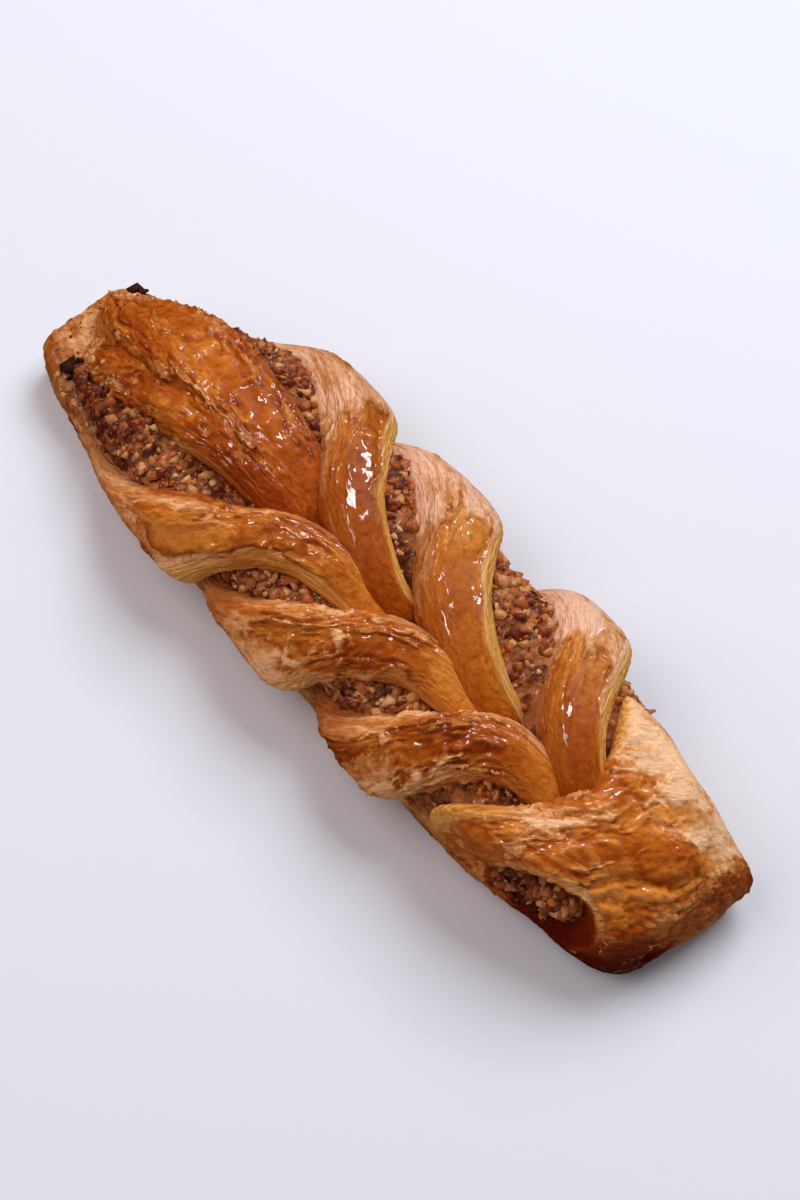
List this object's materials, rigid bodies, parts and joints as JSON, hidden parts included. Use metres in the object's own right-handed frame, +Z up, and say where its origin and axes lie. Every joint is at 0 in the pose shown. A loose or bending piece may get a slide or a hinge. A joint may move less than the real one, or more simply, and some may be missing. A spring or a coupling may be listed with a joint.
{
  "type": "nut braid pastry",
  "caption": "Long baked pastry of glossy laminated dough strips laid over a chopped nut filling by turns from both sides, one end folded over; rests on its flat underside.",
  "frame": {"origin": "middle of the underside's box, on the surface that the pastry lies on", "axes": "+X along the pastry to its folded end, +Z up"},
  "size_m": [0.19, 0.0616, 0.0301],
  "materials": {
    "dough": "egg-washed flaky crust, golden to dark brown",
    "filling": "moist chopped nuts in syrup, lumpy"
  },
  "bodies": {
    "root": {"dough": "dough", "filling": "filling"}
  },
  "joints": []
}
